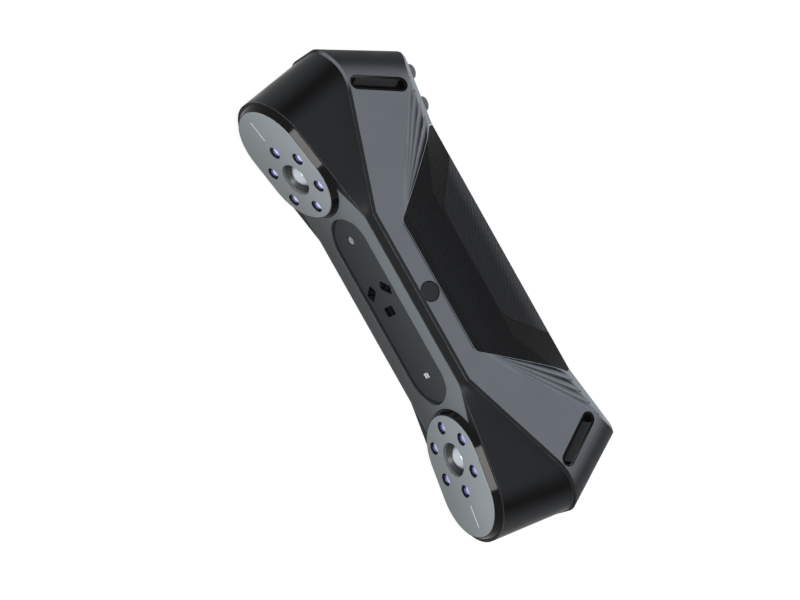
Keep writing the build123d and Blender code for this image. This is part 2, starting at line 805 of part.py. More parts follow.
# Each pod: bezel, face, lamp board and lamps, then the camera on its axis
for name, side in sides.items():
    with BuildPart() as pod_bezel:
        loft([stadium(pod_plane(side, bezel_depth), bezel_radius),
              stadium(pod_plane(side, bezel_lip), face_radius + bezel_lip)], ruled=True)
        extrude(stadium(pod_plane(side, bezel_length), bezel_radius), amount=bezel_length - bezel_depth)
        extrude(stadium(pod_plane(side, face_thickness), face_radius + fit_gap), amount=face_thickness,
                mode=Mode.SUBTRACT)
        extrude(stadium(pod_plane(side, bezel_length), pod_opening), amount=bezel_length,
                mode=Mode.SUBTRACT)
    save(pod_bezel.part, f"{name}_pod_bezel")

    with BuildPart() as pod_face:
        extrude(stadium(pod_plane(side, face_thickness), face_radius), amount=face_thickness)
        axis = Axis(pod_plane(side).origin, pod_plane(side).z_dir)
        front = pod_face.faces().sort_by(axis)[-1]
        chamfer(front.outer_wire().edges(), face_edge)
        extrude(disc(pod_plane(side), lens_hole), amount=-face_thickness, mode=Mode.SUBTRACT)
        with BuildSketch(pod_plane(side)) as lamps:
            with PolarLocations(led_ring, led_count):
                Circle(led_hole)
        extrude(amount=-face_thickness, mode=Mode.SUBTRACT)
    save(pod_face.part, f"{name}_pod_face")

    with BuildPart() as led_board:
        extrude(stadium(pod_plane(side, led_seat + led_board_thickness), pod_opening - fit_gap),
                amount=led_board_thickness)
        extrude(disc(pod_plane(side, led_seat), barrel_radius + fit_gap), amount=-led_board_thickness,
                mode=Mode.SUBTRACT)
    save(led_board.part, f"{name}_led_board")

    with BuildPart() as led_lenses:
        with BuildSketch(pod_plane(side, led_seat)) as lamps:
            with PolarLocations(led_ring, led_count):
                Circle(led_radius)
        extrude(amount=led_seat - led_sunk)
        tops = led_lenses.faces().sort_by(axis)[-led_count:]
        fillet(tops.edges(), led_dome)
    save(led_lenses.part, f"{name}_led_lenses")

    with BuildPart() as lens_barrel:
        barrel_front = face_thickness + fit_gap
        extrude(disc(pod_plane(side, bench_depth), barrel_flange), amount=barrel_flange_thickness)
        extrude(disc(pod_plane(side, bench_depth), barrel_radius), amount=bench_depth - barrel_front)
        extrude(disc(pod_plane(side, bench_depth), lens_bore), amount=bench_depth, mode=Mode.SUBTRACT)
        loft([disc(pod_plane(side, cone_depth), lens_bore), disc(pod_plane(side, barrel_front), lens_hole)],
             mode=Mode.SUBTRACT)
    save(lens_barrel.part, f"{name}_lens_barrel")

    with BuildPart() as camera_lens:
        lens_back = lens_front + lens_dome + lens_thickness
        lens_curve = (lens_radius**2 + lens_dome**2) / (2 * lens_dome)
        extrude(disc(pod_plane(side, lens_back), lens_radius), amount=lens_thickness + lens_dome)
        with Locations(pod_plane(side, lens_front + lens_curve)):
            Sphere(lens_curve, mode=Mode.INTERSECT)
    save(camera_lens.part, f"{name}_camera_lens")

    bench_back = bench_depth + bench_thickness
    with BuildPart() as camera_sensor:
        extrude(block(pod_plane(side, bench_back), (sensor_size, sensor_size)), amount=-sensor_thickness)
    save(camera_sensor.part, f"{name}_camera_sensor")

    with BuildPart() as camera_board:
        extrude(block(pod_plane(side, bench_back + sensor_thickness), (camera_board_size, camera_board_size)),
                amount=-board_thickness)
    save(camera_board.part, f"{name}_camera_board")

# Screws: four hold the bench to the front shell, four hold the rear shell to the bench
with BuildPart() as bench_screws:
    for side in sides.values():
        extrude(disc(pod_plane(side, bench_back), screw_radius, both_heights(bench_screw_place)),
                amount=screw_length - fit_gap)
        extrude(disc(pod_plane(side, bench_back), screw_head_radius, both_heights(bench_screw_place)),
                amount=-screw_head_height)
save(bench_screws.part, "bench_screws")

with BuildPart() as shell_screws:
    for side in sides.values():
        extrude(disc(pod_plane(side, bench_depth), screw_radius, both_heights(shell_screw_place)),
                amount=-screw_length)
        extrude(disc(pod_plane(side, bench_depth), screw_head_radius, both_heights(shell_screw_place)),
                amount=screw_head_height)
save(shell_screws.part, "shell_screws")

# Vent liners: black troughs with a ramp along the outer wall and a long slit along the inner one
liner_form = rear_form(liner_sunk)
for name, side in sides.items():
    for level, face in (("top", 1), ("base", -1)):
        with BuildPart() as vent_liner:
            mouth = face * side_half
            extrude(vent_outline(side, mouth, fit_gap), amount=-face * liner_height)
            add(liner_form, mode=Mode.INTERSECT)
            extrude(vent_outline(side, mouth, fit_gap + liner_wall),
                    amount=-face * (liner_height - liner_wall), mode=Mode.SUBTRACT)
            slot_turn = radians(90 + side * vent_lean)
            along = Vector(cos(slot_turn), sin(slot_turn), 0)
            outward = Vector(side * sin(slot_turn), -side * cos(slot_turn), 0)
            slot_mouth = Vector(side * vent_x, lens_y + vent_depth, mid_z + mouth)
            floor = liner_height - liner_wall
            wall = vent_width / 2 - fit_gap - liner_wall
            with BuildSketch(Plane(origin=slot_mouth, x_dir=outward, z_dir=along)) as ramp:
                into = -face * along.cross(outward).Z
                with BuildLine():
                    Polyline((liner_ramp_foot, into * floor), (wall, into * floor),
                             (wall, into * liner_ramp_top), close=True)
                make_face()
            extrude(amount=vent_length / 2 - vent_width / 2, both=True)
            with BuildSketch(Plane(origin=slot_mouth, x_dir=outward, z_dir=(0, 0, face))) as slit:
                with Locations((-liner_slit_shift, 0)):
                    Rectangle(liner_slit[1], liner_slit[0])
            extrude(amount=-liner_height, mode=Mode.SUBTRACT)
        save(vent_liner.part, f"{name}_vent_{level}")

# Tripod socket: a threaded brass bush with a rubber plug over it
with BuildPart() as tripod_bush:
    extrude(disc(side_plane(bush_top), plug_bore - fit_gap / 2, ((0, plug_depth),)), amount=-bush_length)
    extrude(disc(side_plane(bush_top), thread_radius, ((0, plug_depth),)), amount=-bush_length,
            mode=Mode.SUBTRACT)
save(tripod_bush.part, "tripod_bush")

with BuildPart() as tripod_plug:
    extrude(disc(side_plane(side_half), plug_radius, ((0, plug_depth),)), amount=-plug_thickness)
    rim = tripod_plug.faces().sort_by(Axis.Z)[-1]
    chamfer(rim.edges(), face_edge)
save(tripod_plug.part, "tripod_plug")

# Push buttons, their switches and their board
for name, x in zip(("scan_button", "mode_button"), button_places):
    with BuildPart() as push_button:
        flange_top = shell_wall + button_rest_gap
        extrude(disc(back_plane(x, flange_top), button_radius), amount=flange_top + button_proud)
        cap = push_button.faces().sort_by(Axis(back_plane(x).origin, back_plane(x).z_dir))[-1]
        fillet(cap.edges(), button_edge)
        extrude(disc(back_plane(x, flange_top + button_flange_thickness), button_radius + button_flange),
                amount=button_flange_thickness)
    save(push_button.part, name)

switch_top = shell_wall + button_rest_gap + button_flange_thickness + button_travel + switch_gap
with BuildPart() as button_switches:
    for x in button_places:
        extrude(block(back_plane(x, switch_top + switch_height), (switch_size, switch_size)),
                amount=switch_height / 2)
        extrude(disc(back_plane(x, switch_top + switch_height), plunger_radius), amount=switch_height)
save(button_switches.part, "button_switches")

with BuildPart() as button_board:
    extrude(block(back_plane(button_mid, board_top), button_board_size), amount=-button_board_thickness)
save(button_board.part, "button_board")

# Port: a thin metal shell with a tongue, on a small board behind the pad
with BuildPart() as port_socket:
    port_back = port_recess_deep + port_length
    with BuildSketch(port_plane(port_back)) as sleeve:
        RectangleRounded(*port_opening, port_opening[0] / 2 - fit_gap)
    extrude(amount=port_length)
    with BuildSketch(port_plane(port_back - port_shell_wall)) as bore:
        RectangleRounded(port_opening[0] - 2 * port_shell_wall, port_opening[1] - 2 * port_shell_wall,
                         port_opening[0] / 2 - port_shell_wall - fit_gap)
    extrude(amount=port_length, mode=Mode.SUBTRACT)
    extrude(block(port_plane(port_back), port_tongue), amount=port_length - port_tongue_sunk)
save(port_socket.part, "port_socket")

with BuildPart() as port_board:
    extrude(block(port_plane(port_back), port_board_size), amount=-port_board_thickness)
save(port_board.part, "port_board")

# Main board on standoffs behind the bench, with a finned heat sink
bench_mid_back = bench_mid_depth + bench_thickness / cos(toe)
with BuildPart() as board_standoffs:
    with BuildSketch(front_plane(bench_mid_back)) as feet:
        with GridLocations(2 * standoff_share * bend_x, 2 * standoff_height, 2, 2):
            RegularPolygon(standoff_radius, 6)
    extrude(amount=bench_mid_back - main_board_depth)
save(board_standoffs.part, "board_standoffs")

with BuildPart() as main_board:
    extrude(block(front_plane(main_board_depth), main_board_size), amount=-board_thickness)
save(main_board.part, "main_board")

sink_depth = main_board_depth + board_thickness
with BuildPart() as heat_sink:
    extrude(block(front_plane(sink_depth), sink_size), amount=-sink_base)
    with BuildSketch(front_plane(sink_depth + sink_base)) as fins:
        with GridLocations((sink_size[0] - sink_fin) / (sink_fin_count - 1), 0, sink_fin_count, 1):
            Rectangle(sink_fin, sink_size[1])
    extrude(amount=-sink_fin_height)
save(heat_sink.part, "heat_sink")
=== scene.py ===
from math import cos, pi, radians, sin

import bmesh
import bpy
from mathutils import Matrix, Vector


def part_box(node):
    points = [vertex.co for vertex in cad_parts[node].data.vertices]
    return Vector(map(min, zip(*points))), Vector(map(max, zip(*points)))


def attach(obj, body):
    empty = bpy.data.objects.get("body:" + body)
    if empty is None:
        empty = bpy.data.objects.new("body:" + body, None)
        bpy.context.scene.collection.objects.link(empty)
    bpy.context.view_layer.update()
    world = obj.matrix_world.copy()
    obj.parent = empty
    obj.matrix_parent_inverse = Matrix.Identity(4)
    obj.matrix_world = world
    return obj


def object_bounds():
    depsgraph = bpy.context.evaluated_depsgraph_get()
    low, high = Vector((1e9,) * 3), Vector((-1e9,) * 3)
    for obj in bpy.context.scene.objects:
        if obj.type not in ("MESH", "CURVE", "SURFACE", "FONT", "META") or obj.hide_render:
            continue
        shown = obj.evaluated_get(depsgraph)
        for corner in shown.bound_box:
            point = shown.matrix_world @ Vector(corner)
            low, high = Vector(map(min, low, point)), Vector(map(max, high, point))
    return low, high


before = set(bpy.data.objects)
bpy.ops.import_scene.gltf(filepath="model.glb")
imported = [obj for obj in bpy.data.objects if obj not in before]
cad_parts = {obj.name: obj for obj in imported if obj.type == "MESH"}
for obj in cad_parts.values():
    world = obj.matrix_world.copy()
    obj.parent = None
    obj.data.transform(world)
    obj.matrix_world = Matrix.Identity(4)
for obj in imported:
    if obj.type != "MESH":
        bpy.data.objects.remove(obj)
cad_low, cad_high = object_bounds()
scene = bpy.context.scene

# Rear shell: one deep injection-moulded tub in grey plastic, closed by the front shell.
# Its skin is spark-eroded, so it is satin, with a fine grain and slightly polished edges.
# It darkens by painted shade on the turn to either end, and a painted dark line of shade draws a fine
# groove along the front of the grip.
# Painted shade darkens the bevel beside the seam along the sides, and painted highlight lights it
# round the upper end.

mm = 0.001
COLOUR = "NodeSocketColor"
VALUE = "NodeSocketFloat"
NORMAL = "NodeSocketVector"

NOISE_SPAN = (0.3, 0.7)
CLOUD_CELLS = 45
CLOUD_TINT = (0.965, 1.035)
SMUDGE_CELLS = 120
GRAIN_CELLS = 4200
GRAIN_DEPTH = 0.03 * mm
EDGE_GAIN = 4.0
EDGE_WEAR_AND_HIGHLIGHT = (0.35, 1.0)
EDGE_POLISH = 0.1

POD_REACH = 5.748 * mm
LENS_Y = cad_low.y + POD_REACH
REAR_FLANK = (0.14, 0.52)
REAR_TIP = (0.7, 0.92)
REAR_TURN_SHADE = 0.14
REAR_END_SHADE = 0.32
SEAM_REACH = (84.0 * mm, 90.0 * mm)
SEAM_HEIGHT = (36.0 * mm, 41.0 * mm)
SEAM_LEAN = (0.3, 0.4)
SEAM_SHADE = 0.14
SEAM_GLINT = 1.0
GROOVE_Y = LENS_Y + 19.14 * mm
GROOVE_HALF = 28.3 * mm
GROOVE_WIDTH = (0.12 * mm, 0.3 * mm)
GROOVE_SHADE = 0.22


def node_group(name, inputs, outputs):
    """A new shader group with named sockets, with what it is given and what it results in."""
    tree = bpy.data.node_groups.new(name, "ShaderNodeTree")
    for socket, kind in inputs.items():
        tree.interface.new_socket(name=socket, in_out="INPUT", socket_type=kind)
    for socket, kind in outputs.items():
        tree.interface.new_socket(name=socket, in_out="OUTPUT", socket_type=kind)
    given = tree.nodes.new("NodeGroupInput")
    result = tree.nodes.new("NodeGroupOutput")
    return tree, given.outputs, result.inputs


def use_group(tree, group, values):
    """A node that stands for a shader group, with its plain values set."""
    node = tree.nodes.new("ShaderNodeGroup")
    node.node_tree = group
    for socket, value in values.items():
        node.inputs[socket].default_value = value
    return node


def feed(tree, socket, value):
    """Set a socket to a plain value, or link another socket to it."""
    if isinstance(value, bpy.types.NodeSocket):
        tree.links.new(value, socket)
    else:
        socket.default_value = value


def maths(tree, operation, *terms, clamp=False):
    """A math node fed by sockets or plain numbers."""
    node = tree.nodes.new("ShaderNodeMath")
    node.operation = operation
    node.use_clamp = clamp
    for socket, term in zip(node.inputs, terms):
        feed(tree, socket, term)
    return node.outputs[0]


def mixed(tree, factor, first, second, kind="FLOAT", way="MIX"):
    """Two values or colours, given as sockets or as plain numbers, mixed by a factor."""
    node = tree.nodes.new("ShaderNodeMix")
    node.data_type = kind
    node.blend_type = way
    feed(tree, node.inputs["Factor"], factor)
    feed(tree, node.inputs["A"], first)
    feed(tree, node.inputs["B"], second)
    return node.outputs["Result"]


def tinted(tree, colour, factor):
    """A colour made lighter or darker by a factor."""
    return mixed(tree, 1.0, colour, factor, "RGBA", "MULTIPLY")


def ease(tree, value, ends, before, after, way="SMOOTHSTEP"):
    """A factor that passes from one number to another while a value passes between two ends."""
    node = tree.nodes.new("ShaderNodeMapRange")
    node.interpolation_type = way
    for socket, number in zip(("From Min", "From Max", "To Min", "To Max"), (*ends, before, after)):
        node.inputs[socket].default_value = number
    tree.links.new(value, node.inputs["Value"])
    return node.outputs["Result"]


def noise(tree, cells, detail):
    """A noise of a number of cells per metre."""
    places = tree.nodes.new("ShaderNodeTexCoord")
    texture = tree.nodes.new("ShaderNodeTexNoise")
    texture.inputs["Scale"].default_value = cells
    texture.inputs["Detail"].default_value = detail
    tree.links.new(places.outputs["Object"], texture.inputs["Vector"])
    return texture.outputs["Fac"]


def spread(tree, value, low, high):
    """A noise, most of which lies in the noise span, spread evenly between two numbers."""
    return ease(tree, value, NOISE_SPAN, low, high, "LINEAR")


def bumped(tree, height, strength, depth):
    """A bump node for a height, with a strength and a depth in metres."""
    node = tree.nodes.new("ShaderNodeBump")
    feed(tree, node.inputs["Strength"], strength)
    node.inputs["Distance"].default_value = depth
    tree.links.new(height, node.inputs["Height"])
    return node


def make_moulded_skin():
    """Moulded plastic: cloudy colour, smudged gloss, fine grain and softened, polished edges, whose
    lighter edge colour is partly wear and partly painted highlight.
    """
    tree, given, result = node_group(
        "moulded_skin",
        {"Color": COLOUR, "Edge Color": COLOUR, "Roughness": VALUE, "Smudge": VALUE, "Grain": VALUE,
         "Edge Radius": VALUE},
        {"Color": COLOUR, "Roughness": VALUE, "Normal": NORMAL})
    cloud = noise(tree, CLOUD_CELLS, 3)
    smudge = noise(tree, SMUDGE_CELLS, 4)
    grain = noise(tree, GRAIN_CELLS, 2)
    rounded = tree.nodes.new("ShaderNodeBevel")
    rounded.samples = 4
    tree.links.new(given["Edge Radius"], rounded.inputs["Radius"])
    geometry = tree.nodes.new("ShaderNodeNewGeometry")
    likeness = tree.nodes.new("ShaderNodeVectorMath")
    likeness.operation = "DOT_PRODUCT"
    tree.links.new(rounded.outputs["Normal"], likeness.inputs[0])
    tree.links.new(geometry.outputs["Normal"], likeness.inputs[1])
    unlike = maths(tree, "SUBTRACT", 1.0, likeness.outputs["Value"])
    edge = maths(tree, "MULTIPLY", unlike, EDGE_GAIN, clamp=True)
    worn_lit_edge = maths(tree, "MULTIPLY", edge, spread(tree, smudge, *EDGE_WEAR_AND_HIGHLIGHT), clamp=True)
    cloudy = tinted(tree, given["Color"], spread(tree, cloud, *CLOUD_TINT))
    tree.links.new(mixed(tree, worn_lit_edge, cloudy, given["Edge Color"], "RGBA"), result["Color"])
    swing = maths(tree, "MULTIPLY", spread(tree, smudge, -1.0, 1.0), given["Smudge"])
    smudged = maths(tree, "ADD", given["Roughness"], swing)
    polish = maths(tree, "MULTIPLY", worn_lit_edge, EDGE_POLISH)
    tree.links.new(maths(tree, "SUBTRACT", smudged, polish, clamp=True), result["Roughness"])
    bump = bumped(tree, grain, given["Grain"], GRAIN_DEPTH)
    tree.links.new(rounded.outputs["Normal"], bump.inputs["Normal"])
    tree.links.new(bump.outputs["Normal"], result["Normal"])
    return tree


moulded_skin = make_moulded_skin()


def finish(name, **sockets):
    """A new material whose plain values are set on the shader's own sockets."""
    material = bpy.data.materials.new(name)
    material.use_nodes = True
    shader = material.node_tree.nodes["Principled BSDF"]
    for socket, value in sockets.items():
        shader.inputs[socket.replace("_", " ")].default_value = value
    return material, shader


def moulded(name, colour, edge_colour, roughness, smudge=0.06, grain=0.2, edge_radius=0.3 * mm,
            **sockets):
    """A moulded or painted finish built on the shared skin."""
    material, shader = finish(name, **sockets)
    tree = material.node_tree
    skin = use_group(tree, moulded_skin, {
        "Color": (*colour, 1), "Edge Color": (*edge_colour, 1), "Roughness": roughness,
        "Smudge": smudge, "Grain": grain, "Edge Radius": edge_radius})
    tree.links.new(skin.outputs["Color"], shader.inputs["Base Color"])
    tree.links.new(skin.outputs["Roughness"], shader.inputs["Roughness"])
    tree.links.new(skin.outputs["Normal"], shader.inputs["Normal"])
    return material


def dress(material, *names):
    """Give CAD nodes a finish."""
    for name in names:
        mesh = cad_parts[name].data
        mesh.materials.clear()
        mesh.materials.append(material)


def shade_base(material, factor):
    """Multiply the ground colour of a moulded finish by a factor, and leave its edges."""
    tree = material.node_tree
    skin = next(node for node in tree.nodes if node.type == "GROUP")
    ground = skin.inputs["Color"]
    colour = ground.links[0].from_socket if ground.is_linked else tuple(ground.default_value)
    tree.links.new(tinted(tree, colour, factor), ground)


def facing_of(tree, smooth):
    """The X, Y and Z of the way a surface faces, smoothed over its faces or not."""
    geometry = tree.nodes.new("ShaderNodeNewGeometry")
    facing = tree.nodes.new("ShaderNodeSeparateXYZ")
    tree.links.new(geometry.outputs["Normal" if smooth else "True Normal"], facing.inputs["Vector"])
    return facing.outputs


def level_of(tree):
    """How nearly a face lies level: 1 when it faces straight up or down, 0 when it is upright."""
    return maths(tree, "ABSOLUTE", facing_of(tree, smooth=False)["Z"])


def place_of(tree):
    """The X, Y and Z of a point on the piece, in metres."""
    places = tree.nodes.new("ShaderNodeTexCoord")
    place = tree.nodes.new("ShaderNodeSeparateXYZ")
    tree.links.new(places.outputs["Object"], place.inputs["Vector"])
    return place.outputs


def turn_shade(tree, flank, tip, low, face):
    """A factor of painted shade that falls on the turn from the flank to either end and rises on the
    end face, where above 1 it is painted highlight.
    """
    turned = maths(tree, "ABSOLUTE", facing_of(tree, smooth=True)["X"])
    fall = ease(tree, turned, flank, 1.0, low)
    return maths(tree, "MAXIMUM", fall, ease(tree, turned, tip, 0.0, face))


def seam_shade(tree, ground):
    """A factor of painted shade on the bevel beside the seam along the sides, and of painted highlight
    on it round the upper end.

    The bevel is told from the rest of the shell by its facing forward.
    """
    place = place_of(tree)
    beyond = ease(tree, maths(tree, "MULTIPLY", place["X"], -1.0), SEAM_REACH, 0.0, 1.0)
    above = ease(tree, place["Z"], SEAM_HEIGHT, 0.0, 1.0)
    bevel = mixed(tree, maths(tree, "MULTIPLY", beyond, above), SEAM_SHADE, SEAM_GLINT)
    forward = maths(tree, "MULTIPLY", facing_of(tree, smooth=False)["Y"], -1.0)
    return mixed(tree, ease(tree, forward, SEAM_LEAN, 0.0, 1.0), ground, bevel)


def shade_groove_line(material):
    """Paint shade as a dark line for the fine groove along the front edge of the grip, on both side
    panels.
    """
    tree = material.node_tree
    place = place_of(tree)
    aside = maths(tree, "ABSOLUTE", maths(tree, "SUBTRACT", place["Y"], GROOVE_Y))
    past_end = maths(tree, "SUBTRACT", maths(tree, "ABSOLUTE", place["X"]), GROOVE_HALF)
    clear = maths(tree, "MAXIMUM", aside, past_end)
    shade_base(material, ease(tree, clear, GROOVE_WIDTH, GROOVE_SHADE, 1.0))


grey_shell = moulded("grey_shell", (0.145, 0.159, 0.178), (0.22, 0.235, 0.255), 0.5,
                     Specular_IOR_Level=0.04)
grey_tree = grey_shell.node_tree
# Painted shade on the turns to either end of the rear shell, less deep on the end faces.
grey_turn = turn_shade(grey_tree, REAR_FLANK, REAR_TIP, REAR_TURN_SHADE, REAR_END_SHADE)
# Painted shade and painted highlight on the bevel beside the seam.
shade_base(grey_shell, seam_shade(grey_tree, grey_turn))
# A painted dark line of shade for the fine groove along the front of the grip.
shade_groove_line(grey_shell)
dress(grey_shell, "rear_shell")

# Grip sleeve: a soft black rubber skin in a recess round the back of the rear shell.
# Rows of fine raised dots keep it from slipping, and a thicker pad lies under the fingers.
# Painted highlight lightens the crowns of the dots and the back edges of the sides, painted light
# lightens the pad, and painted shade darkens the rubber towards the pad's foot.

DOT_PITCH = 1.15 * mm
DOT_STRENGTH = 0.8
DOT_DEPTH = 0.15 * mm
LEVEL_FACE = 0.6
PAD_FRONT = 8.0 * mm
PAD_HALF = 25.0 * mm
PAD_SPLAY = 0.83
PAD_MIDDLE = -1.0 * mm
PAD_EDGE = 0.7 * mm
PAD_CORNER = 6.0 * mm
PAD_RISE = 3.0
PAD_LIGHT = 0.9
AROUND_SHADE = 0.74
FOOT_SHADE = 0.481
FOOT_SHADE_RANGE = (-8.0 * mm, 7.0 * mm)
DOT_GLINT_RANGE = (20.0 * mm, 28.0 * mm)
DOT_GLINT_LEVEL = (0.3, 0.8)
DOT_GLINT_GAIN = 6.0
CROWN_POWER = 2.0


def wave(tree, shape, place, pitch):
    """A sine or cosine along a place, with a pitch in metres."""
    turns = maths(tree, "DIVIDE", place, pitch)
    return maths(tree, shape, maths(tree, "MULTIPLY", turns, 2 * pi))


def make_dot_rows():
    """Fine raised dots in staggered rows, laid along the length and round the girth."""
    tree, _, result = node_group("dot_rows", {}, {"Height": VALUE, "Dot": VALUE})
    place = place_of(tree)
    level = maths(tree, "GREATER_THAN", level_of(tree), LEVEL_FACE)
    across = mixed(tree, level, place["Z"], place["Y"])
    along = wave(tree, "SINE", place["X"], DOT_PITCH)
    height = maths(tree, "MULTIPLY", along, wave(tree, "SINE", across, DOT_PITCH))
    tree.links.new(height, result["Height"])
    tree.links.new(maths(tree, "MULTIPLY_ADD", height, 0.5, 0.5), result["Dot"])
    return tree


dot_rows = make_dot_rows()


def pad_mask(tree):
    """1 on the thicker pad, which widens from its front line to the back of the grip, otherwise 0."""
    place = place_of(tree)
    behind = maths(tree, "SUBTRACT", place["Y"], PAD_FRONT)
    reach = maths(tree, "ABSOLUTE", maths(tree, "SUBTRACT", place["X"], PAD_MIDDLE))
    half = maths(tree, "MULTIPLY_ADD", behind, PAD_SPLAY, PAD_HALF)
    inside = maths(tree, "SMOOTH_MIN", behind, maths(tree, "SUBTRACT", half, reach), PAD_CORNER)
    return maths(tree, "DIVIDE", inside, PAD_EDGE, clamp=True)


def dot_glint_mask(tree):
    """1 along the back edges of the side faces, where the dots get a painted highlight, otherwise 0.
    """
    near = ease(tree, place_of(tree)["Y"], DOT_GLINT_RANGE, 0.0, 1.0)
    return maths(tree, "MULTIPLY", near, ease(tree, level_of(tree), DOT_GLINT_LEVEL, 0.0, 1.0))


def dotted_rubber(name, colour, crown_highlight_colour, **sockets):
    """Rubber with raised dots that have a painted highlight on their crowns, with the thicker pad
    raised above them; painted light makes the pad lighter, and painted shade darkens the rest towards
    the pad's foot.
    """
    material, shader = finish(name, **sockets)
    tree = material.node_tree
    dots = use_group(tree, dot_rows, {})
    rubber = mixed(tree, dots.outputs["Dot"], (*colour, 1), (*crown_highlight_colour, 1), "RGBA")
    pad = pad_mask(tree)
    shaded_around = ease(tree, place_of(tree)["Y"], FOOT_SHADE_RANGE, AROUND_SHADE, FOOT_SHADE)
    crowns = maths(tree, "POWER", dots.outputs["Dot"], CROWN_POWER)
    glinting = maths(tree, "MULTIPLY", dot_glint_mask(tree), crowns)
    lit_pad = maths(tree, "MULTIPLY_ADD", glinting, DOT_GLINT_GAIN, PAD_LIGHT)
    gain = mixed(tree, pad, shaded_around, lit_pad)
    tree.links.new(tinted(tree, rubber, gain), shader.inputs["Base Color"])
    height = maths(tree, "MULTIPLY_ADD", pad, PAD_RISE, dots.outputs["Height"])
    bump = bumped(tree, height, DOT_STRENGTH, DOT_DEPTH)
    tree.links.new(bump.outputs["Normal"], shader.inputs["Normal"])
    return material


grip_rubber = dotted_rubber("grip_rubber", (0.003, 0.0032, 0.0036), (0.019, 0.0202, 0.0222),
                            Roughness=0.55, Specular_IOR_Level=0.06)
dress(grip_rubber, "grip_sleeve")

# Vent liners: black moulded troughs pushed into the slots of the side panels.
# Slits in their floors let the warm air out, past a ramp lightened by painted light.

RAMP_LEVEL = (0.2, 0.97)
RAMP_LIGHT = 9.5


def paint_ramp_light(material):
    """Paint light on the sloping faces of a finish, neither level nor upright."""
    tree = material.node_tree
    level = level_of(tree)
    leaning = maths(tree, "GREATER_THAN", level, RAMP_LEVEL[0])
    sloped = maths(tree, "MULTIPLY", leaning, maths(tree, "LESS_THAN", level, RAMP_LEVEL[1]))
    shade_base(material, mixed(tree, sloped, 1.0, RAMP_LIGHT))


vent_black = moulded("vent_black", (0.006, 0.0062, 0.0066), (0.012, 0.012, 0.013), 0.5,
                     Specular_IOR_Level=0.05)
paint_ramp_light(vent_black)
dress(vent_black, "upper_vent_top", "upper_vent_base", "lower_vent_top", "lower_vent_base")

# Tripod socket: a turned brass bush pressed into a boss of the rear shell.
# A dark rubber plug keeps dirt out of it and is pulled off before use.

TOOL_CELLS = 2600
TOOL_GLOSS = (-0.08, 0.08)
TOOL_STRENGTH = 0.3
TOOL_DEPTH = 0.02 * mm
TARNISH_CELLS = 300
TARNISH_TINT = (0.0, 0.8)
TARNISH_GLOSS = (-0.04, 0.08)


def make_tooled_skin():
    """Turned or milled metal: fine tool marks in the gloss, and a cloudy tarnish in the colour."""
    tree, given, result = node_group(
        "tooled_skin", {"Color": COLOUR, "Tarnish": COLOUR, "Roughness": VALUE},
        {"Color": COLOUR, "Roughness": VALUE, "Height": VALUE})
    marks = noise(tree, TOOL_CELLS, 1)
    cloud = noise(tree, TARNISH_CELLS, 4)
    stain = spread(tree, cloud, *TARNISH_TINT)
    tree.links.new(mixed(tree, stain, given["Color"], given["Tarnish"], "RGBA"), result["Color"])
    swing = maths(tree, "ADD", spread(tree, marks, *TOOL_GLOSS), spread(tree, cloud, *TARNISH_GLOSS))
    gloss = maths(tree, "ADD", given["Roughness"], swing, clamp=True)
    tree.links.new(gloss, result["Roughness"])
    tree.links.new(marks, result["Height"])
    return tree


tooled_skin = make_tooled_skin()


def tooled(name, colour, tarnish, roughness):
    """A bare metal finish with tool marks and tarnish."""
    material, shader = finish(name, Metallic=1.0)
    tree = material.node_tree
    skin = use_group(tree, tooled_skin, {
        "Color": (*colour, 1), "Tarnish": (*tarnish, 1), "Roughness": roughness})
    tree.links.new(skin.outputs["Color"], shader.inputs["Base Color"])
    tree.links.new(skin.outputs["Roughness"], shader.inputs["Roughness"])
    bump = bumped(tree, skin.outputs["Height"], TOOL_STRENGTH, TOOL_DEPTH)
    tree.links.new(bump.outputs["Normal"], shader.inputs["Normal"])
    return material


brass_fitting = tooled("brass_fitting", (0.34, 0.25, 0.12), (0.16, 0.11, 0.055), 0.38)
dress(brass_fitting, "tripod_bush", "laser_barrels", "board_standoffs")
seal_rubber = moulded("seal_rubber", (0.0245, 0.027, 0.031), (0.05, 0.055, 0.06), 0.6,
                      Specular_IOR_Level=0.1)
dress(seal_rubber, "tripod_plug", "window_gasket")

# Push buttons: two satin domes that stand out of the sloping back.
# Each works a small switch on a board that hangs from posts inside the shell.
# The switches are of the same black plastic as the camera sensors.

button_grey = moulded("button_grey", (0.085, 0.09, 0.096), (0.12, 0.125, 0.13), 0.42, grain=0.6)
dress(button_grey, "scan_button", "mode_button")
sensor_black = moulded("sensor_black", (0.015, 0.015, 0.016), (0.03, 0.03, 0.03), 0.4)
dress(sensor_black, "button_switches", "upper_camera_sensor", "lower_camera_sensor")

# Boards: green laminate for the buttons, the port, the lamps, the cameras and the main electronics.
# They hang from posts and standoffs, and the main one carries a finned heat sink.

circuit_board = moulded("circuit_board", (0.010, 0.080, 0.035), (0.05, 0.12, 0.06), 0.35)
dress(circuit_board, "button_board", "port_board", "main_board", "upper_led_board",
      "lower_led_board", "upper_camera_board", "lower_camera_board")

# Port: a folded steel shell with a tongue, in a recess of the leaning lower end.
# The same plated steel is used for the screws that hold the bench and the shells together.

steel = tooled("steel", (0.48, 0.48, 0.49), (0.36, 0.36, 0.37), 0.32)
dress(steel, "port_socket", "bench_screws", "shell_screws")

# Optical bench: one bent plate of machined aluminium that keeps the cameras and the lasers in line.
# The laser block and the heat sink are cut from the same bar stock.

machined_aluminium = tooled("machined_aluminium", (0.55, 0.56, 0.57), (0.44, 0.45, 0.46), 0.4)
dress(machined_aluminium, "optical_bench", "laser_block", "heat_sink")

# Front shell: a shallow satin black moulding with a seat for each pod.
# It meets the rear shell at a bevelled seam that runs right round the body.
# Painted shade darkens it on the turn to either end and on the slopes that lean forward, and painted
# highlight lightens its end faces; its light edge colour is partly painted highlight.

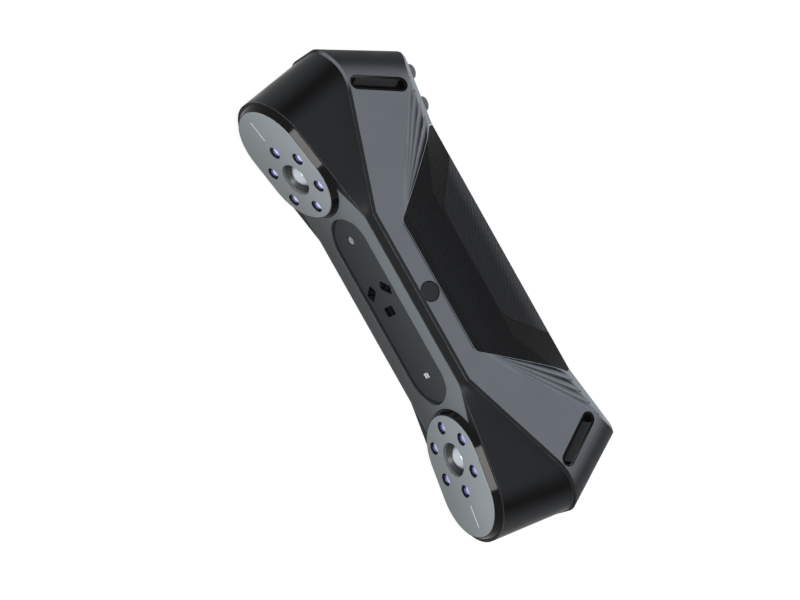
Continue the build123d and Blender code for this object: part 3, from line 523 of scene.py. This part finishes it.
FRONT_FLANK = (0.1, 0.45)
FRONT_TIP = (0.42, 0.82)
FRONT_TURN_SHADE = 0.05
FRONT_END_HIGHLIGHT = 1.25
SLOPE_LEAN = (0.25, 0.6)
SLOPE_SHADE = 0.45

black_shell = moulded("black_shell", (0.0195, 0.0208, 0.0235), (0.32, 0.325, 0.33), 0.38,
                      Specular_IOR_Level=0.08)
black_tree = black_shell.node_tree
black_turn = turn_shade(black_tree, FRONT_FLANK, FRONT_TIP, FRONT_TURN_SHADE, FRONT_END_HIGHLIGHT)
# Painted shade on the turns to either end, with painted highlight on the end faces.
shade_base(black_shell, black_turn)
black_forward = maths(black_tree, "MULTIPLY", facing_of(black_tree, smooth=True)["Y"], -1.0)
# Painted shade on the slopes that lean forward.
shade_base(black_shell, ease(black_tree, black_forward, SLOPE_LEAN, 1.0, SLOPE_SHADE))
dress(black_shell, "front_shell")

# Front panel: a thin painted plate that bends with the front of the body.
# It carries a long tinted window, with the laser outlets and two small sensors in it.

MID_Z = (cad_low.z + cad_high.z) / 2
FRONT_TOP = 21 * mm
PANEL_SHADE = 0.22
WINDOW_SHADE = 0.2
STRIPE_MIDDLE = 24.2 * mm
STRIPE_PITCH = 2.1 * mm
STRIPE_EDGE = (0.2, 0.8)
STRIPE_GAIN = 27.0
SENSOR_GROOVE = (0.06 * mm, 0.3 * mm)
SENSOR_GROOVE_SHADE = 0.1


def paint_shade_down(material, low):
    """Paint shade on a finish, darker smoothly from the upper side of the front down to the lower one.
    """
    tree = material.node_tree
    drop = maths(tree, "SUBTRACT", MID_Z, place_of(tree)["Z"])
    shade_base(material, ease(tree, drop, (-FRONT_TOP, FRONT_TOP), 1.0, low))


# Painted shade darkens the panel and the window towards the lower side of the front.
panel_grey = moulded("panel_grey", (0.155, 0.178, 0.192), (0.27, 0.29, 0.30), 0.3, smudge=0.01,
                     Specular_IOR_Level=0.12)
paint_shade_down(panel_grey, PANEL_SHADE)
dress(panel_grey, "front_panel")
tinted_window = moulded("tinted_window", (0.040, 0.047, 0.054), (0.08, 0.086, 0.092), 0.2,
                        smudge=0.02, grain=0.0, Specular_IOR_Level=0.06)
paint_shade_down(tinted_window, WINDOW_SHADE)
dress(tinted_window, "centre_window")


def stripe(material):
    """Draw pale lines along the length, evenly spaced over the height, on a black finish."""
    tree = material.node_tree
    height = maths(tree, "SUBTRACT", place_of(tree)["Z"], STRIPE_MIDDLE)
    lines = wave(tree, "COSINE", height, STRIPE_PITCH)
    shade_base(material, ease(tree, lines, STRIPE_EDGE, 1.0, STRIPE_GAIN))


outlet_glass = moulded("outlet_glass", (0.0008, 0.0008, 0.001), (0.001, 0.001, 0.001), 0.25,
                       grain=0.0, Specular_IOR_Level=0.005)
stripe(outlet_glass)
dress(outlet_glass, "laser_lenses")
eye_glass = moulded("eye_glass", (0.21, 0.22, 0.225), (0.35, 0.35, 0.35), 0.2, grain=0.0)
dress(eye_glass, "colour_camera")


def shade_behind_front(material, front):
    """Paint shade on a finish behind its front face, such as on the floor of a groove in it."""
    tree = material.node_tree
    sunk = maths(tree, "SUBTRACT", place_of(tree)["Y"], front)
    shade_base(material, ease(tree, sunk, SENSOR_GROOVE, 1.0, SENSOR_GROOVE_SHADE))


sensor_white = moulded("sensor_white", (0.62, 0.64, 0.66), (0.7, 0.7, 0.7), 0.4, grain=0.0,
                       edge_radius=0.05 * mm)
# Painted shade on the floor of the groove in the range sensor.
shade_behind_front(sensor_white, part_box("range_sensor")[0].y)
dress(sensor_white, "range_sensor")

# Pods: each is a satin grey face in a polished black bezel, turned in towards the middle.
# Six lamps stand round a camera lens at the bottom of a dark cone.
# A thin white mark is printed on the outer end of each face.

ENDS = {"upper": -1, "lower": 1}
TOE = radians(10)
LENS_X = 64.2 * mm
POD_SHADE = 0.5
MARK_START = 19.7 * mm
MARK_END = 28.9 * mm
MARK_HALF = 0.28 * mm
MARK_THICK = 0.08 * mm

gloss_black = moulded("gloss_black", (0.003, 0.003, 0.0033), (0.02, 0.02, 0.02), 0.1, smudge=0.03,
                      grain=0.0, Specular_IOR_Level=0.11, Specular_Tint=(1.0, 0.97, 0.95, 1))
dress(gloss_black, "upper_pod_bezel", "lower_pod_bezel")
pod_grey = moulded("pod_grey", (0.27, 0.305, 0.33), (0.45, 0.47, 0.49), 0.3, smudge=0.01,
                   Specular_IOR_Level=0.4)
# Painted shade darkens the pod faces towards the lower side of the front.
paint_shade_down(pod_grey, POD_SHADE)
dress(pod_grey, "upper_pod_face", "lower_pod_face")
anodised_black = moulded("anodised_black", (0.05, 0.052, 0.055), (0.1, 0.1, 0.1), 0.4, Metallic=0.5)
dress(anodised_black, "upper_lens_barrel", "lower_lens_barrel")
camera_glass = moulded("camera_glass", (0.5, 0.55, 0.61), (0.7, 0.7, 0.7), 0.12, grain=0.0,
                       Coat_Weight=1.0, Coat_Roughness=0.03)
dress(camera_glass, "upper_camera_lens", "lower_camera_lens")
lamp_glass = moulded("lamp_glass", (0.8, 0.8, 0.96), (0.9, 0.9, 1.0), 0.04, smudge=0.02, grain=0.0,
                     edge_radius=0.1 * mm, IOR=1.5, Transmission_Weight=1.0)
dress(lamp_glass, "upper_led_lenses", "lower_led_lenses")
white_ink = moulded("white_ink", (0.72, 0.73, 0.74), (0.8, 0.8, 0.8), 0.5, grain=0.0,
                    edge_radius=0.01 * mm)


def pod_place(side, out, up, depth):
    """A point on a pod: out along its face from the lens, up its width and at a depth behind it."""
    outward = Vector((side * cos(TOE), -sin(TOE), 0))
    inward = Vector((side * sin(TOE), cos(TOE), 0))
    lens_place = Vector((side * LENS_X, LENS_Y, MID_Z))
    return lens_place + outward * out + Vector((0, 0, up)) + inward * depth


def join_rings(build, outer, inner):
    """The band of faces between two rings of points."""
    return [build.faces.new((outer[step - 1], outer[step], inner[step], inner[step - 1]))
            for step in range(len(outer))]


def add_block(build, side, corners, front, back):
    """The faces of a block on a pod, with four corners, each out and up, at two depths."""
    rings = [[build.verts.new(pod_place(side, out, up, depth)) for out, up in corners]
             for depth in (front, back)]
    return [build.faces.new(rings[0]), build.faces.new(rings[1]), *join_rings(build, *rings)]


def add_piece(name, build, *materials):
    """A new object made from a built shape, with its faces turned outwards."""
    bmesh.ops.recalc_face_normals(build, faces=build.faces)
    mesh = bpy.data.meshes.new(name)
    build.to_mesh(mesh)
    build.free()
    for material in materials:
        mesh.materials.append(material)
    piece = bpy.data.objects.new(name, mesh)
    scene.collection.objects.link(piece)
    return piece


mark_corners = ((MARK_START, -MARK_HALF), (MARK_END, -MARK_HALF), (MARK_END, MARK_HALF),
                (MARK_START, MARK_HALF))

for end, side in ENDS.items():
    build = bmesh.new()
    add_block(build, side, mark_corners, 0.0, -MARK_THICK)
    mark = add_piece(f"{end}_pod_mark", build, white_ink)
    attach(mark, "body")

# Lamp cups: a small reflector cup with a square violet chip on its floor is cast into each lamp.
# A thin black collar round each lamp is painted shade: it darkens the hole round the lamp.

LAMP_RING = 13.5 * mm
LAMP_COUNT = 6
CUP_SIDES = 24
CUP_BACK = 2.95 * mm
CUP_FLOOR = 2.8 * mm
CUP_SECTION = ((2.35 * mm, CUP_BACK), (2.35 * mm, 1.75 * mm), (2.25 * mm, 1.8 * mm),
               (1.75 * mm, 2.75 * mm))
CHIP_HALF = 1.15 * mm
CHIP_FRONT = 2.45 * mm
CHIP_BACK = 2.9 * mm
CHIP_GLOW_HIGHLIGHT = {"upper": 0.5, "lower": 0.2}
COLLAR_SIDES = 48
COLLAR_SECTION = ((2.72 * mm, 0.06 * mm), (2.72 * mm, 3.1 * mm), (2.63 * mm, 3.1 * mm),
                  (2.63 * mm, 0.06 * mm))
SQUARE = ((-1, -1), (1, -1), (1, 1), (-1, 1))

cup_lacquer = moulded("cup_lacquer", (0.06, 0.06, 0.19), (0.1, 0.1, 0.25), 0.25, grain=0.0,
                      Metallic=0.4)
shade_collar = moulded("shade_collar", (0.016, 0.017, 0.024), (0.02, 0.02, 0.03), 0.5, grain=0.0,
                        edge_radius=0.02 * mm, Specular_IOR_Level=0.1)


def lamp_middle(lamp):
    """Where a lamp lies on its pod, out and up from the camera lens."""
    turn = 2 * pi * lamp / LAMP_COUNT
    return LAMP_RING * cos(turn), LAMP_RING * sin(turn)


def lamp_rings(build, side, lamp, section, sides):
    """Rings of points round a lamp, one for each radius and depth of a section."""
    out, up = lamp_middle(lamp)
    turns = [2 * pi * step / sides for step in range(sides)]
    return [[build.verts.new(pod_place(side, out + radius * cos(turn), up + radius * sin(turn), depth))
             for turn in turns] for radius, depth in section]


def add_cup(build, side, lamp):
    """A closed cup, turned about the middle of a lamp."""
    rings = lamp_rings(build, side, lamp, CUP_SECTION, CUP_SIDES)
    for outer, inner in zip(rings, rings[1:]):
        join_rings(build, outer, inner)
    for ring, depth in ((rings[0], CUP_BACK), (rings[-1], CUP_FLOOR)):
        middle = build.verts.new(pod_place(side, *lamp_middle(lamp), depth))
        for step in range(CUP_SIDES):
            build.faces.new((ring[step - 1], ring[step], middle))


def add_chip(build, side, lamp):
    """A square chip on the floor of a cup, in the second material of its piece."""
    out, up = lamp_middle(lamp)
    corners = [(out + a * CHIP_HALF, up + b * CHIP_HALF) for a, b in SQUARE]
    for face in add_block(build, side, corners, CHIP_FRONT, CHIP_BACK):
        face.material_index = 1


def add_collar(build, side, lamp):
    """A closed collar round a lamp."""
    rings = lamp_rings(build, side, lamp, COLLAR_SECTION, COLLAR_SIDES)
    for index, ring in enumerate(rings):
        join_rings(build, ring, rings[index - 1])


# The chips' glow is painted highlight, stronger in the upper pod than in the lower.
for end, side in ENDS.items():
    chip_violet = moulded(f"{end}_chip_violet", (0.5, 0.48, 0.9), (0.6, 0.6, 0.95), 0.3, grain=0.0,
                          edge_radius=0.1 * mm, Emission_Color=(0.7, 0.72, 1.0, 1),
                          Emission_Strength=CHIP_GLOW_HIGHLIGHT[end])
    build = bmesh.new()
    for lamp in range(LAMP_COUNT):
        add_cup(build, side, lamp)
        add_chip(build, side, lamp)
    cups = add_piece(f"{end}_lamp_cups", build, cup_lacquer, chip_violet)
    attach(cups, "body")

# Dark collars as painted shade in the holes round the lamps.
for end, side in ENDS.items():
    build = bmesh.new()
    for lamp in range(LAMP_COUNT):
        add_collar(build, side, lamp)
    collars = add_piece(f"{end}_lamp_collars", build, shade_collar)
    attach(collars, "body")

# Stage: a plain pale floor that the scanner lies on, under soft light from large panels.
# The floor and the far background are white to the camera and in reflections.

FLOOR_HALF = 6.0
FLOOR_Z = cad_low.z - 0.05 * mm
FLOOR_UNSEEN = (0.15, 0.15, 0.15, 1)
FLOOR_SEEN = (0.25, 0.25, 0.25, 1)
FLOOR_GLOW = 0.85
WORLD_FILL = 0.12
AIM = Vector((0, 0, 0.02))


def white_to_view(tree):
    """1 for rays that come from the camera, a reflection or a clear piece, otherwise 0."""
    path = tree.nodes.new("ShaderNodeLightPath")
    seen = maths(tree, "MAXIMUM", path.outputs["Is Camera Ray"], path.outputs["Is Glossy Ray"])
    return maths(tree, "MAXIMUM", seen, path.outputs["Is Transmission Ray"])


def show_by_view(tree, unseen, seen, surface):
    """Lead one shader to the rays that light the object and another to the rays that see."""
    choice = tree.nodes.new("ShaderNodeMixShader")
    tree.links.new(white_to_view(tree), choice.inputs["Fac"])
    tree.links.new(unseen.outputs[0], choice.inputs[1])
    tree.links.new(seen.outputs[0], choice.inputs[2])
    tree.links.new(choice.outputs[0], surface)


floor_mesh = bpy.data.meshes.new("floor")
floor_corners = [(a * FLOOR_HALF, b * FLOOR_HALF, FLOOR_Z) for a, b in SQUARE]
floor_mesh.from_pydata(floor_corners, [], [(0, 1, 2, 3)])
floor = bpy.data.objects.new("floor", floor_mesh)
scene.collection.objects.link(floor)

paper = bpy.data.materials.new("floor_paper")
paper.use_nodes = True
paper_tree = paper.node_tree
paper_tree.nodes.remove(paper_tree.nodes["Principled BSDF"])
dim_paper = paper_tree.nodes.new("ShaderNodeBsdfDiffuse")
dim_paper.inputs["Color"].default_value = FLOOR_UNSEEN
bright_paper = paper_tree.nodes.new("ShaderNodeBsdfDiffuse")
bright_paper.inputs["Color"].default_value = FLOOR_SEEN
glow = paper_tree.nodes.new("ShaderNodeEmission")
glow.inputs["Strength"].default_value = FLOOR_GLOW
lit_paper = paper_tree.nodes.new("ShaderNodeAddShader")
paper_tree.links.new(bright_paper.outputs[0], lit_paper.inputs[0])
paper_tree.links.new(glow.outputs[0], lit_paper.inputs[1])
show_by_view(paper_tree, dim_paper, lit_paper, paper_tree.nodes["Material Output"].inputs["Surface"])
floor_mesh.materials.append(paper)

world = bpy.data.worlds.new("studio")
scene.world = world
world.use_nodes = True
world_tree = world.node_tree
fill = world_tree.nodes["Background"]
fill.inputs["Color"].default_value = (1, 1, 1, 1)
fill.inputs["Strength"].default_value = WORLD_FILL
white = world_tree.nodes.new("ShaderNodeBackground")
white.inputs["Color"].default_value = (1, 1, 1, 1)
white.inputs["Strength"].default_value = 1.0
show_by_view(world_tree, fill, white, world_tree.nodes["World Output"].inputs["Surface"])


def soft_panel(name, place, size, power, mirrored=True):
    """A large lamp at a place, turned towards the object, seen in reflections or not."""
    lamp = bpy.data.lights.new(name, "AREA")
    lamp.shape = "RECTANGLE"
    lamp.size, lamp.size_y = size
    lamp.energy = power
    panel = bpy.data.objects.new(name, lamp)
    panel.location = place
    panel.rotation_euler = (AIM - Vector(place)).to_track_quat("-Z", "Y").to_euler()
    panel.visible_glossy = mirrored
    scene.collection.objects.link(panel)


soft_panel("key_panel", (0.01, -0.55, 0.95), (0.36, 0.32), 6.5)
soft_panel("front_panel_light", (0.0, -1.2, 0.2), (0.6, 0.22), 5.0)
soft_panel("end_panel_light", (-1.0, -0.8, 0.25), (0.4, 0.4), 2.2, mirrored=False)
soft_panel("rim_panel", (0.1, 1.15, 0.28), (0.6, 0.4), 20.0, mirrored=False)

# Camera: a long lens above the front, rolled so that the scanner stands nearly upright in the frame.
# Its place is given from a point midway between the lenses of the two pods.

FOCAL = 122.7294
SENSOR = 36.0
RIGHT = Vector((0.48992705, 0.74714367, 0.44916346))
DOWN = Vector((0.87029077, -0.44911773, -0.20220595))
FORWARD = Vector((0.05065038, 0.48996898, -0.87026716))
EYE = Vector((-57.27, -522.3, 953.65)) * mm + Vector((0, LENS_Y, MID_Z))

lens = bpy.data.cameras.new("camera")
lens.lens = FOCAL
lens.sensor_width = SENSOR
lens.sensor_fit = "HORIZONTAL"
lens.clip_start = 0.05
camera = bpy.data.objects.new("camera", lens)
camera_turn = Matrix((RIGHT, -DOWN, -FORWARD)).transposed()
camera.matrix_world = Matrix.Translation(EYE) @ camera_turn.to_4x4()
scene.collection.objects.link(camera)
scene.camera = camera

scene.view_settings.view_transform = "Standard"
